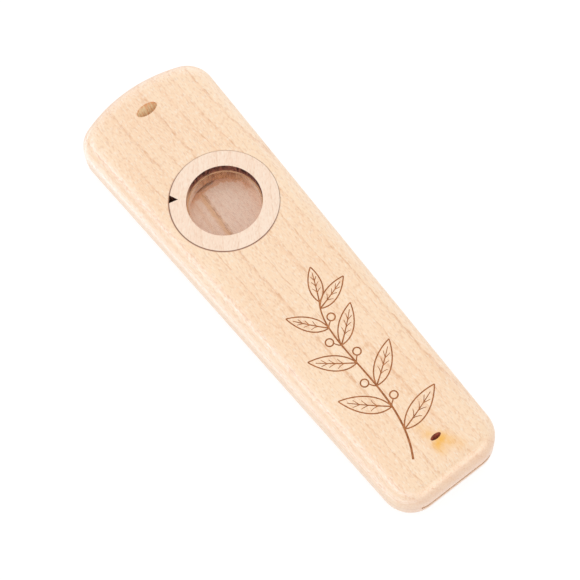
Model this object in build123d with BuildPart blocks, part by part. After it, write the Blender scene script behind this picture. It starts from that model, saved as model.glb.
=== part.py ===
from build123d import *
from math import cos, radians, sin, tan
import os

# A flat wooden kazoo, in millimetres: two glued halves, a film membrane and the ring that clamps it.
# The origin lies under the middle of the body, on the face that it rests on.
# +Y runs along the body from the mouth end to the rounded tail, and +Z up through the face with the ring.

# Body outline, seen from above
body_length = 120.0  # from the flat mouth end to the crown of the tail curve
mouth_width = 28.0  # across the mouth end, before its corners are rounded
shoulder_width = 35.4  # across the shoulders, where the sides meet the tail curve
tail_rise = 4.6  # how far the tail curve stands beyond the shoulders
mouth_corner_radius = 7.0
shoulder_corner_radius = 7.0

# Body section
face_thickness = 6.0  # the half with the ring
back_thickness = 6.0  # the half that lies on the table
edge_radius = 4.0  # rounding sanded along the outer edges
seam_band = 0.5  # least straight side left between the rounding and the glue seam

# Clamp ring, set flush in its seat
ring_from_tail = 37.8  # crown of the tail curve to the ring's centre
ring_bore_diameter = 17.4
ring_width = 3.8  # from the bore to the outer edge
ring_thickness = 2.5
ring_clearance = 0.10  # all round, between the ring and its seat
notch_width = 2.0  # pry notch, across its mouth
notch_depth = 2.0
notch_angle = 140.0  # degrees from +X, about the ring's centre
notch_overrun = 0.5  # how far the notch cutter reaches past the ring's edge

# Membrane film, trapped under the ring
membrane_thickness = 0.1
membrane_inset = 0.5  # all round, inside the ring's outer edge

# Air way: mouth slit, chamber under the membrane, tail channel, outlet
ledge_reach = 0.35  # how far the seat's ledge shows inside the ring's bore
mouth_channel_width = 19.0
tail_channel_width = 8.0
channel_depth = 1.2
mouth_channel_overlap = 1.4  # how far the mouth channel runs in under the chamber
tail_channel_overlap = 0.6  # how far the tail channel does
channel_corner_radius = 2.0
outlet_from_tail = 8.2  # crown of the tail curve to the outlet's centre
outlet_length = 5.4  # across the body
outlet_width = 2.8
outlet_tilt = 38.0  # degrees from upright: the outlet slants up towards the tail
outlet_margin = 0.6  # tail channel beyond the outlet
vent_from_mouth = 9.5  # flat mouth end to the vent's centre
vent_offset = 1.6  # from the body's middle line, towards +X
vent_length = 2.7  # across the body
vent_width = 1.2
vent_tilt = 25.0  # the vent slants the same way, but less

# Places that follow from these sizes
tail_y = body_length / 2
mouth_y = -body_length / 2
shoulder_y = tail_y - tail_rise
seam_z = back_thickness
top_z = back_thickness + face_thickness
ring_y = tail_y - ring_from_tail
ring_outer_radius = ring_bore_diameter / 2 + ring_width
ring_bottom_z = top_z - ring_thickness
seat_radius = ring_outer_radius + ring_clearance
seat_depth = ring_thickness + membrane_thickness
membrane_bottom_z = top_z - seat_depth
membrane_radius = ring_outer_radius - membrane_inset
chamber_radius = ring_bore_diameter / 2 - ledge_reach
outlet_y = tail_y - outlet_from_tail
outlet_foot_y = outlet_y - face_thickness * tan(radians(outlet_tilt))
vent_y = mouth_y + vent_from_mouth
slanted_holes = (
    (0, outlet_y, outlet_length, outlet_width, radians(outlet_tilt)),
    (vent_offset, vent_y, vent_length, vent_width, radians(vent_tilt)),
)
mouth_channel_length = ring_y - chamber_radius + mouth_channel_overlap - mouth_y
tail_channel_y = ring_y + chamber_radius - tail_channel_overlap
tail_channel_length = outlet_foot_y + outlet_width / 2 + outlet_margin - tail_channel_y
notch_reach = notch_depth + notch_overrun
notch_half_width = notch_width / 2 * notch_reach / notch_depth
face_edge_radius = min(edge_radius, face_thickness - seam_band)
back_edge_radius = min(edge_radius, back_thickness - seam_band)

os.makedirs("parts", exist_ok=True)

# Outline of the body: sides that spread from the mouth end to the shoulders, and a curved tail
with BuildSketch() as body_outline:
    with BuildLine():
        mouth_edge = Line((-mouth_width / 2, mouth_y), (mouth_width / 2, mouth_y))
        right_side = Line(mouth_edge @ 1, (shoulder_width / 2, shoulder_y))
        tail_curve = ThreePointArc(right_side @ 1, (0, tail_y), (-shoulder_width / 2, shoulder_y))
        Line(tail_curve @ 1, mouth_edge @ 0)
    make_face()
    fillet(body_outline.vertices().group_by(Axis.Y)[-1], shoulder_corner_radius)
    fillet(body_outline.vertices().group_by(Axis.Y)[0], mouth_corner_radius)

# Face half: carries the ring's seat, the chamber through it, and the oval outlet and vent, both slanted
with BuildPart() as face_half:
    with BuildSketch(Plane.XY.offset(seam_z)):
        add(body_outline.sketch)
    extrude(amount=face_thickness)
    fillet(face_half.faces().sort_by(Axis.Z)[-1].edges(), face_edge_radius)
    with Locations((0, ring_y, top_z)):
        CounterBoreHole(chamber_radius, seat_radius, seat_depth)
    for hole_x, hole_y, length, width, tilt in slanted_holes:
        with BuildSketch(Plane.XY.offset(top_z)):
            with Locations((hole_x, hole_y)):
                Ellipse(length / 2, width / 2)
        extrude(amount=face_thickness / cos(tilt), dir=(0, -sin(tilt), -cos(tilt)), mode=Mode.SUBTRACT)
face_half.part.label = "face_half"
export_step(face_half.part, "parts/face_half.step")

# Back half: closes the chamber from below, with the shallow air channels milled in its glue face
with BuildPart() as back_half:
    with BuildSketch():
        add(body_outline.sketch)
    extrude(amount=back_thickness)
    fillet(back_half.faces().sort_by(Axis.Z)[0].edges(), back_edge_radius)
    with BuildSketch(Plane.XY.offset(seam_z)):
        with Locations((0, mouth_y)):
            mouth_channel = Rectangle(mouth_channel_width, mouth_channel_length, align=(Align.CENTER, Align.MIN))
        fillet(mouth_channel.vertices().group_by(Axis.Y)[-1], channel_corner_radius)
        with Locations((0, tail_channel_y)):
            tail_channel = Rectangle(tail_channel_width, tail_channel_length, align=(Align.CENTER, Align.MIN))
        fillet(tail_channel.vertices(), channel_corner_radius)
    extrude(amount=-channel_depth, mode=Mode.SUBTRACT)
back_half.part.label = "back_half"
export_step(back_half.part, "parts/back_half.step")

# Membrane: a flat film disc that lies on the seat's ledge, under the ring
with BuildPart() as membrane:
    with BuildSketch(Plane.XY.offset(membrane_bottom_z)):
        with Locations((0, ring_y)):
            Circle(membrane_radius)
    extrude(amount=membrane_thickness)
membrane.part.label = "membrane"
export_step(membrane.part, "parts/membrane.step")

# Clamp ring: a flat wooden ring with a V notch in its edge for prying it out
with BuildPart() as clamp_ring:
    with BuildSketch(Plane.XY.offset(ring_bottom_z)):
        with Locations((0, ring_y)):
            Circle(ring_outer_radius)
            Circle(ring_bore_diameter / 2, mode=Mode.SUBTRACT)
            with PolarLocations(ring_outer_radius - notch_depth, 1, start_angle=notch_angle):
                Polygon(
                    (0, 0),
                    (notch_reach, -notch_half_width),
                    (notch_reach, notch_half_width),
                    align=None,
                    mode=Mode.SUBTRACT,
                )
    extrude(amount=ring_thickness)
clamp_ring.part.label = "clamp_ring"
export_step(clamp_ring.part, "parts/clamp_ring.step")
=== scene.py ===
import bpy
import bmesh
import math
from mathutils import Matrix, Vector
from mathutils.geometry import interpolate_bezier
from types import SimpleNamespace


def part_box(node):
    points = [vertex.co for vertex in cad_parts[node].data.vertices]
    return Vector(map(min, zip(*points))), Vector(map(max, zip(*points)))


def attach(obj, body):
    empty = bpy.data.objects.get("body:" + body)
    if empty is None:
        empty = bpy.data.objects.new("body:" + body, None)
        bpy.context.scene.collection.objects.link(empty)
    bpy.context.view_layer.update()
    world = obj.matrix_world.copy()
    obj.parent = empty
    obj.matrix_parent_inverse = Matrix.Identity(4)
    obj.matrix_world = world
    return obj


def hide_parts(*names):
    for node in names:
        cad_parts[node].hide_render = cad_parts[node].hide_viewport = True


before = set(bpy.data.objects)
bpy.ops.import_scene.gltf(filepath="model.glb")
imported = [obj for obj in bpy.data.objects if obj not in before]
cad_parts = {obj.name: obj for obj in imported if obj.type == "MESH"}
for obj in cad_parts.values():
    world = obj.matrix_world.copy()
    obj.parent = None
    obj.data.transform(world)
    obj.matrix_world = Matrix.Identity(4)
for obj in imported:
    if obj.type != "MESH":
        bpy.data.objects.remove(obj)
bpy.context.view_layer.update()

# Back half. The lower board of the body is sanded maple, with the air channels milled in its glue face.
# It is the first piece on the bench. Its glue face closes the chamber, and that floor shows through the film.
MM = 0.001
ring_low, ring_high = (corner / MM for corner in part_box("clamp_ring"))
ring_middle = (ring_low + ring_high) / 2
ring_radius = (ring_high.x - ring_low.x) / 2
seam_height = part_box("back_half")[1].z / MM
ledge_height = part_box("membrane")[0].z / MM
chamber_radius = 8.35
sanded_relief = 0.02


def srgb(red, green, blue):
    """A colour as it looks on a screen, 0 to 255, as the linear colour that a shader takes."""
    shares = [value / 255 for value in (red, green, blue)]
    linear = [s / 12.92 if s <= 0.04045 else ((s + 0.055) / 1.055) ** 2.4 for s in shares]
    return (*linear, 1.0)


def feed(tree, socket, value):
    """Links another node's output to a socket, or sets the socket to a plain value."""
    if isinstance(value, bpy.types.NodeSocket):
        tree.links.new(value, socket)
    else:
        socket.default_value = value


def calc(tree, operation, *values):
    node = tree.nodes.new("ShaderNodeMath")
    node.operation = operation
    for socket, value in zip(node.inputs, values):
        feed(tree, socket, value)
    return node.outputs[0]


def times(tree, first, *others):
    """The product of all the values."""
    product = first
    for value in others:
        product = calc(tree, "MULTIPLY", product, value)
    return product


def total(tree, first, *others):
    """The sum of all the values."""
    result = first
    for value in others:
        result = calc(tree, "ADD", result, value)
    return result


def vector_calc(tree, operation, *values):
    node = tree.nodes.new("ShaderNodeVectorMath")
    node.operation = operation
    for socket, value in zip(node.inputs, values):
        feed(tree, socket, value)
    return node


def fade(tree, value, start, end, low=0.0, high=1.0):
    """A smooth step: low up to start, high from end on."""
    node = tree.nodes.new("ShaderNodeMapRange")
    node.interpolation_type = "SMOOTHSTEP"
    for socket, number in zip(node.inputs, (value, start, end, low, high)):
        feed(tree, socket, number)
    return node.outputs[0]


def tint(tree, amount, under, over):
    """Lays one colour over another by an amount from 0 to 1."""
    node = tree.nodes.new("ShaderNodeMix")
    node.data_type = "RGBA"
    for index, value in ((0, amount), (6, under), (7, over)):
        feed(tree, node.inputs[index], value)
    return node.outputs[2]


def stain(finish, amount, colour):
    """Lays a colour over a finish by an amount from 0 to 1."""
    finish.colour = tint(finish.tree, amount, finish.colour, colour)


def speckle(tree, place, per_mm, detail=2.0):
    """Noise from 0 to 1, with so many waves per millimetre along each axis of place."""
    node = tree.nodes.new("ShaderNodeTexNoise")
    feed(tree, node.inputs["Vector"], vector_calc(tree, "MULTIPLY", place, per_mm).outputs[0])
    node.inputs["Scale"].default_value = 1.0
    node.inputs["Detail"].default_value = detail
    return node.outputs[0]


def wander(tree, place, per_mm, detail, swing):
    """The same noise as a length in millimetres, from -swing to swing."""
    return calc(tree, "MULTIPLY_ADD", speckle(tree, place, per_mm, detail), 2 * swing, -swing)


def split(tree, vector):
    node = tree.nodes.new("ShaderNodeSeparateXYZ")
    feed(tree, node.inputs[0], vector)
    return node.outputs


def reach_from(finish, x, y):
    """Distance in plan, in millimetres, from the upright line through x, y."""
    flat = vector_calc(finish.tree, "MULTIPLY", finish.place, (1.0, 1.0, 0.0)).outputs[0]
    return vector_calc(finish.tree, "DISTANCE", flat, (x, y, 0.0)).outputs["Value"]


def reach_from_ring(finish):
    """Distance in plan, in millimetres, from the ring's axis."""
    return reach_from(finish, ring_middle.x, ring_middle.y)


def toward(finish, direction):
    """How far a place lies from the ring's middle in a direction, in millimetres."""
    from_middle = vector_calc(finish.tree, "SUBTRACT", finish.place, ring_middle).outputs[0]
    return vector_calc(finish.tree, "DOT_PRODUCT", from_middle, direction).outputs["Value"]


def new_finish(name):
    """An empty material with its shader, its place in millimetres and its face direction."""
    material = bpy.data.materials.new(name)
    material.use_nodes = True
    tree = material.node_tree
    shader = tree.nodes["Principled BSDF"]
    where = tree.nodes.new("ShaderNodeTexCoord").outputs["Object"]
    place = vector_calc(tree, "MULTIPLY", where, (1 / MM, 1 / MM, 1 / MM)).outputs[0]
    facing = tree.nodes.new("ShaderNodeNewGeometry").outputs["Normal"]
    return SimpleNamespace(material=material, tree=tree, shader=shader, place=place, facing=facing)


def apply_finish(finish, relief):
    """Joins a finish's colour, roughness and relief, in millimetres, to its shader."""
    tree, shader = finish.tree, finish.shader
    feed(tree, shader.inputs["Base Color"], finish.colour)
    feed(tree, shader.inputs["Roughness"], finish.rough)
    bump = tree.nodes.new("ShaderNodeBump")
    bump.inputs["Strength"].default_value = 1.0
    bump.inputs["Distance"].default_value = relief * MM
    feed(tree, bump.inputs["Height"], finish.height)
    feed(tree, shader.inputs["Normal"], bump.outputs[0])
    return finish.material


def turned(finish, axis, angle):
    """A finish's place, turned about one axis."""
    turn = finish.tree.nodes.new("ShaderNodeVectorRotate")
    turn.rotation_type = axis
    turn.inputs["Angle"].default_value = angle
    feed(finish.tree, turn.inputs["Vector"], finish.place)
    return turn.outputs[0]


def maple(name, pale, deep, line, pith, year_width, grain_angle=0.0, shift=0.0, line_strength=0.6):
    """Sanded maple: growth rings round a far pith, flecks and fibres along the grain, darker end grain.
    pith is where the tree's heart lay, across the board and in depth, and year_width is a year's growth.
    shift slides the pattern along the grain so that no two boards look the same."""
    finish = new_finish(name)
    tree = finish.tree
    grain = vector_calc(tree, "ADD", turned(finish, "Z_AXIS", -grain_angle), (0.0, shift, 0.0)).outputs[0]
    across, along, depth = split(tree, grain)

    # Growth rings: the distance from the pith, bent a little and cut into years of uneven width
    grain_slope = 0.03
    sway = wander(tree, grain, per_mm=(0.03, 0.018, 0.03), detail=1.0, swing=2.0)
    shiver = wander(tree, grain, per_mm=(0.5, 0.35, 0.5), detail=3.0, swing=0.5)
    slanted = calc(tree, "MULTIPLY_ADD", along, grain_slope, across)
    from_pith_x = calc(tree, "SUBTRACT", total(tree, slanted, sway, shiver), pith[0])
    from_pith_z = calc(tree, "SUBTRACT", depth, pith[1])
    squares = total(tree, calc(tree, "POWER", from_pith_x, 2.0), calc(tree, "POWER", from_pith_z, 2.0))
    radius = calc(tree, "SQRT", squares)
    years = tree.nodes.new("ShaderNodeCombineXYZ")
    feed(tree, years.inputs[0], radius)
    uneven = wander(tree, years.outputs[0], per_mm=(0.22, 1.0, 1.0), detail=0.0, swing=2.0)
    year = calc(tree, "FRACT", calc(tree, "DIVIDE", total(tree, radius, uneven), year_width))

    # A year darkens slowly to its late wood and ends in a line, clear in some places and broken in dashes
    late = calc(tree, "POWER", year, 3.0)
    edge = times(tree, fade(tree, year, 0.85, 0.95), fade(tree, year, 0.96, 1.0, 1.0, 0.0))
    clear = fade(tree, speckle(tree, grain, per_mm=(0.30, 0.035, 0.30)), 0.36, 0.64, 0.15, 1.0)
    dash = fade(tree, speckle(tree, grain, per_mm=(1.6, 0.40, 1.6), detail=3.0), 0.36, 0.62, 0.1, 1.0)
    marked = times(tree, edge, clear, dash, line_strength)

    # Finer figure: broad clouds, long streaks, dark flecks, pale glints and fibres
    cloud = fade(tree, speckle(tree, grain, per_mm=(0.10, 0.035, 0.10)), 0.3, 0.7)
    streak = fade(tree, speckle(tree, grain, per_mm=(0.9, 0.05, 0.9), detail=3.0), 0.35, 0.75)
    fleck = fade(tree, speckle(tree, grain, per_mm=(2.6, 0.9, 2.6)), 0.50, 0.68)
    glint = fade(tree, speckle(tree, grain, per_mm=(2.8, 0.9, 5.0)), 0.50, 0.70)
    fibre = speckle(tree, grain, per_mm=(9.0, 0.5, 9.0))
    shade_share = 0.35
    shade = total(tree, *(times(tree, part, shade_share) for part in (cloud, streak, late)))
    finish.colour = tint(tree, shade, pale, deep)
    stain(finish, marked, line)
    stain(finish, times(tree, glint, 0.6), srgb(255, 238, 218))
    stain(finish, times(tree, fleck, calc(tree, "MULTIPLY_ADD", late, 0.16, 0.28)), line)
    stain(finish, fade(tree, fibre, 0.3, 0.7, 0.08, 0.0), line)

    end_axis = (-math.sin(grain_angle), math.cos(grain_angle), 0.0)
    facing_end = vector_calc(tree, "DOT_PRODUCT", finish.facing, end_axis).outputs["Value"]
    end_grain = fade(tree, calc(tree, "ABSOLUTE", facing_end), 0.35, 0.95)
    pores = fade(tree, speckle(tree, grain, per_mm=(3.0, 0.4, 3.0)), 0.35, 0.7, 0.35, 0.75)
    stain(finish, times(tree, end_grain, pores), srgb(236, 196, 170))

    finish.rough = fade(tree, fleck, 0.0, 1.0, 0.30, 0.40)
    finish.shader.inputs["Specular IOR Level"].default_value = 0.85
    sunken = total(tree, times(tree, fleck, -0.5), times(tree, marked, -0.5))
    finish.height = total(tree, sunken, times(tree, fibre, 0.35))
    return finish


def glue_line(finish):
    """Draws the fine brown line of the glue seam along the outside of a half."""
    tree = finish.tree
    from_seam = calc(tree, "ABSOLUTE", calc(tree, "SUBTRACT", split(tree, finish.place)[2], seam_height))
    beyond_seat = fade(tree, reach_from_ring(finish), 13.0, 13.5)
    stain(finish, times(tree, fade(tree, from_seam, 0.03, 0.10, 0.2, 0.0), beyond_seat), srgb(176, 120, 82))


back_wood = maple(
    "back_board_maple",
    pale=srgb(253, 225, 197),
    deep=srgb(247, 207, 173),
    line=srgb(223, 160, 113),
    pith=(-54.0, -48.0),
    year_width=2.9,
    shift=31.0,
)
glue_line(back_wood)
tree, place = back_wood.tree, back_wood.place
board_x, board_y, board_z = split(tree, place)
on_glue_face = fade(tree, board_z, seam_height - 0.4, seam_height - 0.1)
glue_dulling = 0.34
stain(back_wood, times(tree, on_glue_face, glue_dulling), srgb(226, 188, 172))

# A brown streak crosses the chamber's floor beside a fainter one. Its edge towards +X is darker and thready.
streak_offset, streak_slope = -2.5, 0.08
streak_x = calc(tree, "MULTIPLY_ADD", board_y, streak_slope, streak_offset - streak_slope * ring_middle.y)
streak_wander = wander(tree, place, per_mm=(1.3, 0.45, 0.5), detail=4.0, swing=0.9)
from_streak = calc(tree, "SUBTRACT", total(tree, board_x, streak_wander), streak_x)


def streak_band(centre, solid, reach, strength):
    """A band along the streak, in millimetres from its line: full within solid of centre, gone at reach."""
    away = calc(tree, "ABSOLUTE", calc(tree, "SUBTRACT", from_streak, centre))
    return fade(tree, away, solid, reach, strength, 0.0)


main_streak = streak_band(centre=0.0, solid=0.1, reach=1.2, strength=0.95)
side_streak = streak_band(centre=-2.4, solid=0.0, reach=0.9, strength=0.35)
dark_edge = streak_band(centre=0.45, solid=0.0, reach=0.65, strength=0.9)
thread = fade(tree, speckle(tree, place, per_mm=(3.2, 0.60, 1.0), detail=3.0), 0.40, 0.60)
mill_mark = fade(tree, speckle(tree, place, per_mm=(2.6, 0.9, 1.0), detail=3.0), 0.50, 0.66, 0.0, 0.30)
both_streaks = calc(tree, "MAXIMUM", main_streak, side_streak)
stain(back_wood, times(tree, both_streaks, on_glue_face), srgb(226, 170, 116))
stain(back_wood, times(tree, dark_edge, thread, on_glue_face), srgb(184, 120, 72))
stain(back_wood, times(tree, mill_mark, on_glue_face), srgb(206, 150, 116))

# The floor is browner along the tail side at the foot of the wall, with a ragged edge, and the channels near
# it are tinted orange-brown.
floor_reach = reach_from_ring(back_wood)
ragged = wander(tree, place, per_mm=(1.1, 0.6, 0.5), detail=4.0, swing=1.8)
at_throat = fade(tree, toward(back_wood, (0.0, 1.0, 0.0)), 5.4, 7.2, 0.0, 0.9)
brown_patch_reach = total(tree, floor_reach, ragged, at_throat)
brown_patch_edge = fade(tree, brown_patch_reach, chamber_radius - 0.9, chamber_radius - 0.3, 0.0, 0.85)
near_wall = fade(tree, floor_reach, chamber_radius - 2.4, chamber_radius - 1.2)
tailward = fade(tree, toward(back_wood, (0.36, 0.93, 0.0)), 1.5, 6.0)
on_floor = times(tree, brown_patch_edge, near_wall, tailward)
in_channel = fade(tree, board_z, seam_height - 0.5, seam_height - 0.1, 1.0, 0.0)
round_chamber = fade(tree, floor_reach, 10.0, 12.0, 1.0, 0.0)
above_channels = fade(tree, board_z, seam_height - 1.8, seam_height - 1.4)
brown_patch = times(tree, calc(tree, "MAXIMUM", on_floor, in_channel), round_chamber, above_channels)
deep_brown_patch = fade(tree, brown_patch_reach, chamber_radius - 0.5, chamber_radius + 0.6)
brown_patch_colour = tint(tree, deep_brown_patch, srgb(226, 166, 114), srgb(208, 142, 94))
brown_patch_colour = tint(tree, in_channel, brown_patch_colour, srgb(255, 178, 106))
stain(back_wood, brown_patch, brown_patch_colour)
brown_patch_roughness = 0.95
back_wood.rough = calc(tree, "MAXIMUM", back_wood.rough, times(tree, brown_patch, brown_patch_roughness))
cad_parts["back_half"].data.materials[0] = apply_finish(back_wood, sanded_relief)

# Face half. The upper maple board is glued over the back half, then milled and cut for the ring
# and the holes. A laser burns the vent, whose smoke stains the wood, and a leafy sprig in grooves
# a fifth of a millimetre deep.
face_low, face_high = (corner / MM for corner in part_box("face_half"))
top_height = face_high.z
outlet_from_tail, outlet_lean = 8.2, math.radians(38)
outlet_place = Vector((0.0, face_high.y - outlet_from_tail))
vent_from_mouth, vent_offset, vent_lean = 9.5, 1.6, math.radians(25)
vent_place = Vector((vent_offset, face_low.y + vent_from_mouth))

face_wood = maple(
    "face_board_maple",
    pale=srgb(255, 226, 192),
    deep=srgb(250, 209, 169),
    line=srgb(218, 157, 104),
    pith=(-62.0, -44.0),
    year_width=3.2,
)
glue_line(face_wood)
tree = face_wood.tree

# Each puff of smoke has its offset from the vent across and along the body, its spread and its strength.
smoke_puffs = (
    (0.4, -1.2, 2.8, 1.0),
    (-0.5, -1.5, 2.4, 1.0),
    (1.5, -2.4, 2.9, 0.65),
    (-0.7, -2.9, 2.4, 0.5),
    (-0.9, 1.5, 2.2, 0.55),
    (-1.2, 3.8, 2.4, 0.25),
    (3.0, -4.4, 2.6, 0.3),
)
smoke = 0.0
drifting = wander(tree, face_wood.place, per_mm=(0.8, 0.8, 0.8), detail=3.0, swing=0.8)
for offset_x, offset_y, spread, strength in smoke_puffs:
    reach = reach_from(face_wood, vent_place.x + offset_x, vent_place.y + offset_y)
    smoke = calc(tree, "MAXIMUM", smoke, fade(tree, total(tree, reach, drifting), 0.0, spread, strength, 0.0))
stain(face_wood, smoke, srgb(247, 180, 46))


def scorch_round_ring(finish):
    """1 on the side of the ring and its seat where the laser lingered, and nearly 0 across from it."""
    hot_side = (-0.87, -0.49, 0.0)
    toward_heat = toward(finish, hot_side)
    return fade(finish.tree, toward_heat, -0.7 * ring_radius, 0.5 * ring_radius, 0.05, 1.0)


seat_rim = fade(tree, reach_from_ring(face_wood), ring_radius + 0.12, ring_radius + 0.42, 0.9, 0.0)
stain(face_wood, times(tree, seat_rim, scorch_round_ring(face_wood)), srgb(164, 96, 54))

charred_shine = 0.15
wall_relief = 0.06


def toasted_wall(name, pale, dark, lowest, highest, lean=0.0, streaks_per_mm=1.6, crisp=0.14):
    """A cut wall in the wood, browned by heat: streaks along the cut, darker towards the top edge.
    lean is the cutter's slant towards the tail, and a small crisp gives sharper streaks."""
    finish = new_finish(name)
    tree = finish.tree
    along_cut = turned(finish, "X_AXIS", lean)
    streaks = speckle(tree, along_cut, per_mm=(streaks_per_mm, streaks_per_mm, 0.3), detail=3.0)
    streaks = fade(tree, streaks, 0.5 - crisp, 0.5 + crisp)
    rise = fade(tree, split(tree, finish.place)[2], lowest, highest, 0.0, 0.45)
    finish.colour = tint(tree, calc(tree, "MULTIPLY_ADD", streaks, 0.55, rise), pale, dark)
    finish.rough = fade(tree, streaks, 0.0, 1.0, 0.6, 0.75)
    finish.height = streaks
    finish.shader.inputs["Specular IOR Level"].default_value = charred_shine
    return finish


chamber = toasted_wall("chamber_wall", srgb(224, 164, 106), srgb(160, 94, 50), seam_height, ledge_height)
tree = chamber.tree
# The wall is golden-brown towards the tail and turns paler on the sides away from it, with blotchy edges.
blotchy = wander(tree, chamber.place, per_mm=(0.5, 0.5, 0.5), detail=3.0, swing=1.2)
toward_tail_wall = total(tree, toward(chamber, (0.52, 0.85, 0.0)), blotchy)
paler_side = fade(tree, calc(tree, "DIVIDE", toward_tail_wall, chamber_radius), 0.40, 1.00, 1.0, 0.0)
stain(chamber, paler_side, srgb(255, 228, 204))
chamber_wall = apply_finish(chamber, wall_relief)

seat = toasted_wall("seat_wall", srgb(214, 164, 122), srgb(168, 116, 80), ledge_height, top_height)
seat.colour = tint(seat.tree, scorch_round_ring(seat), srgb(255, 232, 208), seat.colour)
seat_wall = apply_finish(seat, wall_relief)

outlet = toasted_wall(
    "outlet_wall",
    srgb(255, 228, 182),
    srgb(242, 170, 118),
    lowest=top_height - 0.8,
    highest=top_height,
    lean=outlet_lean,
    streaks_per_mm=2.2,
    crisp=0.07,
)
outlet_wall = apply_finish(outlet, wall_relief)

vent = toasted_wall(
    "vent_wall",
    srgb(216, 124, 96),
    srgb(120, 58, 42),
    lowest=top_height - 0.6,
    highest=top_height,
    lean=vent_lean,
)
vent_wall = apply_finish(vent, wall_relief)

# The ledge turns near black beyond the ring's edge. This is partly soot from cutting the seat and partly
# painted shade, so the ledge seen down the ring's notch stays dark.
ledge = new_finish("seat_ledge")
tree = ledge.tree
soot_and_shade = total(tree, speckle(tree, ledge.place, per_mm=(0.8, 0.8, 0.8), detail=3.0), reach_from_ring(ledge))
soot_and_shade_start, soot_and_shade_end = 10.0, 10.8
ledge.colour = tint(tree, fade(tree, soot_and_shade, soot_and_shade_start, soot_and_shade_end), srgb(236, 186, 142), srgb(40, 24, 18))
ledge.rough = fade(tree, soot_and_shade, soot_and_shade_start, soot_and_shade_end, 0.55, 0.8)
ledge.height = soot_and_shade
ledge.shader.inputs["Specular IOR Level"].default_value = charred_shine
apply_finish(ledge, sanded_relief)

burn = new_finish("engraved_burn")
tree = burn.tree
heat = fade(tree, speckle(tree, burn.place, per_mm=(1.1, 1.1, 1.1), detail=3.0), 0.3, 0.7)
pulse = fade(tree, speckle(tree, burn.place, per_mm=(6.0, 6.0, 6.0), detail=1.0), 0.3, 0.7, 0.0, 0.35)
burn_depth = calc(tree, "MULTIPLY_ADD", heat, 0.65, pulse)
burn.colour = tint(tree, burn_depth, srgb(206, 140, 90), srgb(160, 98, 56))
burn.rough = fade(tree, heat, 0.0, 1.0, 0.65, 0.8)
burn.height = pulse
burn.shader.inputs["Specular IOR Level"].default_value = charred_shine
pulse_relief = 0.03
apply_finish(burn, pulse_relief)

groove_width = 0.42
stem_foot, stem_foot_handle = Vector((-5.4, -51.5)), Vector((3.2, -38.0))
stem_tip_handle, stem_tip = Vector((-4.6, -19.0)), Vector((1.4, -10.6))
stem_steps = 41
stem = interpolate_bezier(stem_foot, stem_foot_handle, stem_tip_handle, stem_tip, stem_steps)

sprig = bpy.data.curves.new("sprig_grooves", "CURVE")
sprig.dimensions = "3D"
sprig.bevel_depth = groove_width / 2 * MM
sprig.bevel_resolution = 4
sprig.use_fill_caps = True


def on_face(point):
    return Vector((point.x, point.y, top_height)) * MM


def groove(start, start_handle, end_handle, end, thin_start=1.0, thin_end=1.0, steps=16):
    """One burnt stroke from start to end, bent by its two handles, and thinned at its ends."""
    spline = sprig.splines.new("BEZIER")
    spline.bezier_points.add(1)
    spline.resolution_u = steps
    first, last = spline.bezier_points
    first.co, last.co = on_face(start), on_face(end)
    first.handle_left = on_face(start + start - start_handle)
    first.handle_right = on_face(start_handle)
    last.handle_left = on_face(end_handle)
    last.handle_right = on_face(end + end - end_handle)
    first.radius, last.radius = thin_start, thin_end


def leaf(base, direction, length, width, curl):
    """A leaf in outline, with its midrib and side veins. curl bends it left, or right where it is below 0."""
    along = Vector((math.cos(direction), math.sin(direction)))
    left = Vector((-along.y, along.x))

    def spot(share, side):
        """A point at a share of the leaf's length, and so far to the left of its bent middle line."""
        return base + along * share * length + left * (side + curl * length * share * share)

    tip = spot(1.0, 0.0)
    for side in (-width / 2, width / 2):
        groove(base, spot(0.28, side * 1.55), spot(0.70, side * 1.05), tip, 0.75, 0.7)
    groove(base, spot(0.3, 0.0), spot(0.6, 0.0), spot(0.84, 0.0), 0.8, 0.45)
    for share in (0.26, 0.44, 0.60):
        for side in (-width, width):
            vein_start_handle = spot(share + 0.06, side * 0.08)
            vein_end_handle = spot(share + 0.10, side * 0.18)
            vein_end = spot(share + 0.13, side * (0.40 - 0.34 * share))
            groove(spot(share, 0.0), vein_start_handle, vein_end_handle, vein_end, 0.5, 0.35, steps=6)


def berry(base, direction, stalk, radius):
    """A round berry on a short stalk."""
    along = Vector((math.cos(direction), math.sin(direction)))
    left = Vector((-along.y, along.x))
    neck = base + along * stalk
    groove(base, base + along * stalk * 0.4 + left * 0.3, neck - along * 0.5, neck, 0.7, 0.6, steps=8)
    middle = neck + along * radius
    handle = radius * 4 / 3 * math.tan(math.pi / 8)
    skin = sprig.splines.new("BEZIER")
    skin.bezier_points.add(3)
    skin.use_cyclic_u = True
    skin.resolution_u = 8
    for quarter, point in enumerate(skin.bezier_points):
        out = Vector((math.cos(quarter * math.pi / 2), math.sin(quarter * math.pi / 2)))
        onward = Vector((-out.y, out.x))
        point.co = on_face(middle + out * radius)
        point.handle_left = on_face(middle + out * radius - onward * handle)
        point.handle_right = on_face(middle + out * radius + onward * handle)
        point.radius = 0.8


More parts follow.
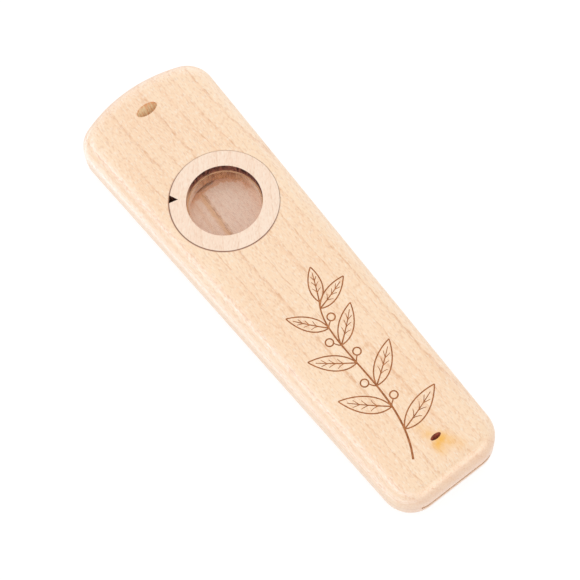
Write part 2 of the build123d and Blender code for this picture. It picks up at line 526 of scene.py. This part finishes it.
# Leaves grow from the stem by turns right and left, smaller and closer to it towards the tip.
groove(stem_foot, stem_foot_handle, stem_tip_handle, stem_tip, 1.15, 0.8, stem_steps)
leaf_count = 7
lowest_leaf, leafy_stretch = 0.14, 0.80
leaf_slimness, leaf_curl = 0.34, 0.10
berry_stalk, berry_radius, berry_angle = 1.8, 0.9, math.radians(40)
for number in range(leaf_count):
    share = lowest_leaf + leafy_stretch * number / (leaf_count - 1)
    step = round(share * (stem_steps - 1))
    base = stem[step]
    ahead = stem[min(step + 1, stem_steps - 1)] - stem[step - 1]
    heading = math.atan2(ahead.y, ahead.x)
    side = 1 if number % 2 else -1
    length = 12.6 - 3.6 * share
    leaf_angle = math.radians(62 - 12 * share)
    leaf(base, heading + side * leaf_angle, length, length * leaf_slimness, -side * leaf_curl)
    if 0 < number < leaf_count - 1:
        berry(base, heading - side * berry_angle, berry_stalk, berry_radius)
leaf(stem_tip, math.radians(62), length=8.6, width=3.1, curl=0.06)


def settled_mesh(piece):
    """A piece's mesh with its modifiers applied, or a curve's as a mesh."""
    return bpy.data.meshes.new_from_object(piece.evaluated_get(bpy.context.evaluated_depsgraph_get()))


def put_in_scene(name, data):
    """A new object of that name, in the scene."""
    thing = bpy.data.objects.new(name, data)
    bpy.context.scene.collection.objects.link(thing)
    return thing


cutter_curve = put_in_scene("sprig_cutter", sprig)
cutter_mesh = settled_mesh(cutter_curve)
bpy.data.objects.remove(cutter_curve)
cutter_mesh.materials.clear()
cutter_mesh.materials.append(burn.material)
cutter = put_in_scene("sprig_cutter", cutter_mesh)

weld_reach = 0.001 * MM


def copy_of(node, name, material):
    """A piece with a CAD node's shape, its faces joined and its shading left to be set."""
    shape = bmesh.new()
    shape.from_mesh(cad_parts[node].data)
    bmesh.ops.remove_doubles(shape, verts=shape.verts, dist=weld_reach)
    mesh = bpy.data.meshes.new(name)
    shape.to_mesh(mesh)
    shape.free()
    mesh.attributes.remove(mesh.attributes["custom_normal"])
    mesh.materials.clear()
    mesh.materials.append(material)
    return put_in_scene(name, mesh)


def settle(piece):
    """Applies a piece's modifiers to its mesh."""
    shaped = settled_mesh(piece)
    piece.modifiers.clear()
    piece.data = shaped


def weld(piece):
    """Joins points less than a thousandth of a millimetre apart, and takes out what has no area left."""
    shape = bmesh.new()
    shape.from_mesh(piece.data)
    bmesh.ops.remove_doubles(shape, verts=shape.verts, dist=weld_reach)
    bmesh.ops.dissolve_degenerate(shape, dist=weld_reach, edges=shape.edges)
    strays = [point for point in shape.verts if not point.link_faces]
    bmesh.ops.delete(shape, geom=strays, context="VERTS")
    many_sided = [face for face in shape.faces if len(face.verts) > 4]
    bmesh.ops.triangulate(shape, faces=many_sided, ngon_method="BEAUTY")
    shape.to_mesh(piece.data)
    shape.free()


def shade_evenly(piece, sharp_angle):
    """Smooth shading with sharp edges kept, led by the larger faces."""
    piece.data.shade_smooth()
    piece.data.set_sharp_from_angle(angle=sharp_angle)
    even = piece.modifiers.new("even_shading", "WEIGHTED_NORMAL")
    even.keep_sharp = True
    settle(piece)


face = copy_of("face_half", "face_half_engraved", apply_finish(face_wood, sanded_relief))
engrave = face.modifiers.new("engrave", "BOOLEAN")
engrave.operation = "DIFFERENCE"
engrave.solver = "EXACT"
engrave.use_self = True
engrave.material_mode = "TRANSFER"
engrave.object = cutter
settle(face)
weld(face)
bpy.data.objects.remove(cutter)

# A steep face belongs to the first hole whose slanted axis lies within the reach given here.
wall_finishes = (
    (ring_middle.xy, 0.0, chamber_radius + 0.5, chamber_wall),
    (ring_middle.xy, 0.0, ring_radius + 0.5, seat_wall),
    (outlet_place, outlet_lean, 3.2, outlet_wall),
    (vent_place, vent_lean, 1.8, vent_wall),
)
for finish in (chamber_wall, seat_wall, outlet_wall, vent_wall, ledge.material):
    face.data.materials.append(finish)
slot_of = {material.name: index for index, material in enumerate(face.data.materials)}
level, steep, below_top = 0.9, 0.7, 1.0
for polygon in face.data.polygons:
    middle = polygon.center / MM
    if polygon.material_index == slot_of["engraved_burn"]:
        continue
    if polygon.normal.z > level and middle.z < top_height - below_top:
        polygon.material_index = slot_of["seat_ledge"]
    if abs(polygon.normal.z) < steep:
        for mouth, lean, reach, finish in wall_finishes:
            centre = mouth - Vector((0.0, (top_height - middle.z) * math.tan(lean)))
            if (middle.xy - centre).length < reach:
                polygon.material_index = slot_of[finish.name]
                break
shade_evenly(face, math.radians(40))
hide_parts("face_half")
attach(face, "body")

# Membrane. A clear film disc lies on the ledge of the seat and buzzes when someone hums.
# It is cut from thin plastic film, and only the ring above holds it. The ring's grip leaves a hazy band.
film = new_finish("clear_film")
tree = film.tree
cloudy = speckle(tree, film.place, per_mm=(0.4, 0.4, 0.4))
film.colour = tint(tree, cloudy, srgb(234, 214, 202), srgb(245, 228, 214))
film_reach = reach_from_ring(film)
grip = times(tree, fade(tree, film_reach, 8.9, 9.2), fade(tree, film_reach, 9.9, 10.4, 1.0, 0.0))
stain(film, grip, srgb(196, 178, 162))
clear_alpha, hazy_alpha = 0.05, 0.5
feed(tree, film.shader.inputs["Alpha"], fade(tree, grip, 0.0, 1.0, clear_alpha, hazy_alpha))
film.rough = fade(tree, speckle(tree, film.place, per_mm=(0.25, 0.25, 0.25)), 0.3, 0.7, 0.08, 0.18)
film.height = speckle(tree, film.place, per_mm=(0.12, 0.2, 0.1), detail=1.0)
film.shader.inputs["Specular IOR Level"].default_value = 0.2
film_ripple = 0.05
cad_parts["membrane"].data.materials[0] = apply_finish(film, film_ripple)

# Clamp ring. A paler maple ring, cut by laser from a thin sheet, presses the film down and sits flush.
# The laser left its bore and its pry notch nearly black, and browned its rim where it lingered.
ring_width = 3.8
bore_radius = ring_radius - ring_width
ring_wood = maple(
    "ring_sheet_maple",
    pale=srgb(254, 229, 206),
    deep=srgb(249, 216, 189),
    line=srgb(228, 184, 147),
    pith=(-40.0, -60.0),
    year_width=1.7,
    grain_angle=math.radians(-37.2),
    shift=12.0,
    line_strength=0.4,
)
tree = ring_wood.tree
rim = fade(tree, reach_from_ring(ring_wood), ring_radius - 0.16, ring_radius)
unevenly = fade(tree, speckle(tree, ring_wood.place, per_mm=(0.16, 0.16, 0.16)), 0.35, 0.65, 0.4, 0.95)
stain(ring_wood, times(tree, rim, unevenly, scorch_round_ring(ring_wood)), srgb(150, 82, 46))
ring = copy_of("clamp_ring", "clamp_ring_charred", apply_finish(ring_wood, sanded_relief))

# The outer wall is only toasted across from the hot side, and so is one side of the bore.
char = toasted_wall("ring_char", srgb(164, 106, 88), srgb(74, 40, 34), ring_low.z, ring_high.z - 1.0)
tree = char.tree
char_reach = reach_from_ring(char)
outer_wall = fade(tree, char_reach, ring_radius - 0.3, ring_radius - 0.1)
cool_wall = times(tree, outer_wall, calc(tree, "SUBTRACT", 1.0, scorch_round_ring(char)))
stain(char, cool_wall, srgb(238, 198, 162))
bore_wall = fade(tree, char_reach, bore_radius + 0.1, bore_radius + 0.3, 1.0, 0.0)
cool_bore = times(tree, fade(tree, toward(char, (-0.88, 0.47, 0.0)), 6.6, 8.4, 0.0, 0.8), bore_wall)
stain(char, cool_bore, srgb(240, 200, 166))
ring.data.materials.append(apply_finish(char, wall_relief))
for polygon in ring.data.polygons:
    polygon.material_index = 1 if abs(polygon.normal.z) < 0.5 else 0
shade_evenly(ring, math.radians(30))
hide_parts("clamp_ring")
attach(ring, "ring")

# Studio. A white floor keeps a faint shadow, and an even sky and a softbox above light the object.
# Strips and cards all round show only as sheen, and the camera is the photograph's.
floor_half_width = 3.0
floor_height = -0.02 * MM
corners = [(-1, -1), (1, -1), (1, 1), (-1, 1)]
floor_points = [(x * floor_half_width, y * floor_half_width, floor_height) for x, y in corners]
floor_mesh = bpy.data.meshes.new("floor")
floor_mesh.from_pydata(floor_points, [], [(0, 1, 2, 3)])
floor = put_in_scene("floor", floor_mesh)


def seen_directly(tree):
    """1 for rays that show a surface to the camera, straight, mirrored or through something clear."""
    path = tree.nodes.new("ShaderNodeLightPath").outputs
    mirrored = calc(tree, "MAXIMUM", path["Is Glossy Ray"], path["Is Transmission Ray"])
    return calc(tree, "MAXIMUM", path["Is Camera Ray"], mirrored)


floor_material = bpy.data.materials.new("white_floor")
floor_material.use_nodes = True
floor_mesh.materials.append(floor_material)
tree = floor_material.node_tree
tree.nodes.remove(tree.nodes["Principled BSDF"])
paper = tree.nodes.new("ShaderNodeBsdfDiffuse")
paper.inputs["Color"].default_value = (0.98, 0.98, 0.98, 1.0)
shadow_paper = tree.nodes.new("ShaderNodeBsdfDiffuse")
shadow_paper.inputs["Color"].default_value = (0.25, 0.25, 0.25, 1.0)
glow = tree.nodes.new("ShaderNodeEmission")
glow.inputs["Strength"].default_value = 0.82
shown = tree.nodes.new("ShaderNodeAddShader")
feed(tree, shown.inputs[0], shadow_paper.outputs[0])
feed(tree, shown.inputs[1], glow.outputs[0])
choice = tree.nodes.new("ShaderNodeMixShader")
feed(tree, choice.inputs[0], seen_directly(tree))
feed(tree, choice.inputs[1], paper.outputs[0])
feed(tree, choice.inputs[2], shown.outputs[0])
feed(tree, tree.nodes["Material Output"].inputs["Surface"], choice.outputs[0])

sky_level = 0.86
world = bpy.data.worlds.new("studio")
bpy.context.scene.world = world
world.use_nodes = True
tree = world.node_tree
sky = tree.nodes["Background"]
sky.inputs["Color"].default_value = (1.0, 1.0, 1.0, 1.0)
sky_strength = calc(tree, "MULTIPLY_ADD", seen_directly(tree), 1.0 - sky_level, sky_level)
feed(tree, sky.inputs["Strength"], sky_strength)


def softbox(name, place, width, height, power, colour, sheen_only=True, aim=None):
    """A rectangular lamp at a place in metres that shines along aim, or else at the object.
    A lamp for sheen alone shows in the satin oil, but adds nothing to the plain light."""
    lamp = bpy.data.lights.new(name, "AREA")
    lamp.shape = "RECTANGLE"
    lamp.size = width
    lamp.size_y = height
    lamp.energy = power
    lamp.color = colour
    box = put_in_scene(name, lamp)
    box.location = place
    box.rotation_euler = (Vector(aim) if aim else -Vector(place)).to_track_quat("-Z", "Y").to_euler()
    box.visible_diffuse = not sheen_only
    box.visible_camera = False


cool, white = (0.48, 0.71, 1.0), (1.0, 1.0, 1.0)
up = (0.0, 0.0, 1.0)
softbox("left_strip", (-0.51, 0.19, 0.43), 1.0, 0.34, 3.8, cool)
softbox("corner_strip", (-0.46, -0.40, 0.40), 0.5, 0.3, 1.3, cool)
softbox("left_card", (-0.22, 0.0, 0.002), 0.4, 0.4, 1.0, cool, aim=up)
softbox("back_strip", (0.14, 0.60, 0.34), 0.9, 0.6, 2.0, cool)
softbox("back_card", (0.04, 0.26, 0.002), 0.4, 0.3, 0.9, cool, aim=up)
softbox("front_strip", (0.13, -0.62, 0.28), 0.7, 0.34, 1.5, white)
softbox("right_strip", (0.63, 0.22, 0.20), 0.9, 0.40, 0.8, cool)
softbox("right_card", (0.26, 0.06, 0.002), 0.4, 0.4, 0.6, cool, aim=up)
softbox("top_softbox", (-0.13, 0.13, 0.88), 0.9, 0.9, 1.2, white, sheen_only=False)

azimuth, elevation, roll = math.radians(-33.08), math.radians(67.48), math.radians(-5.244)
target = Vector((-0.54, -2.21, 6.0)) * MM
distance = 448.16 * MM
turn = Matrix.Rotation(azimuth, 4, "Z") @ Matrix.Rotation(math.pi / 2 - elevation, 4, "X")
turn = turn @ Matrix.Rotation(roll, 4, "Z")
camera = put_in_scene("camera", bpy.data.cameras.new("camera"))
camera.data.lens = 124.13
camera.data.clip_start = 0.01
camera.matrix_world = Matrix.Translation(target + turn.to_3x3() @ Vector((0, 0, distance))) @ turn
bpy.context.scene.camera = camera
bpy.context.scene.view_settings.view_transform = "Standard"
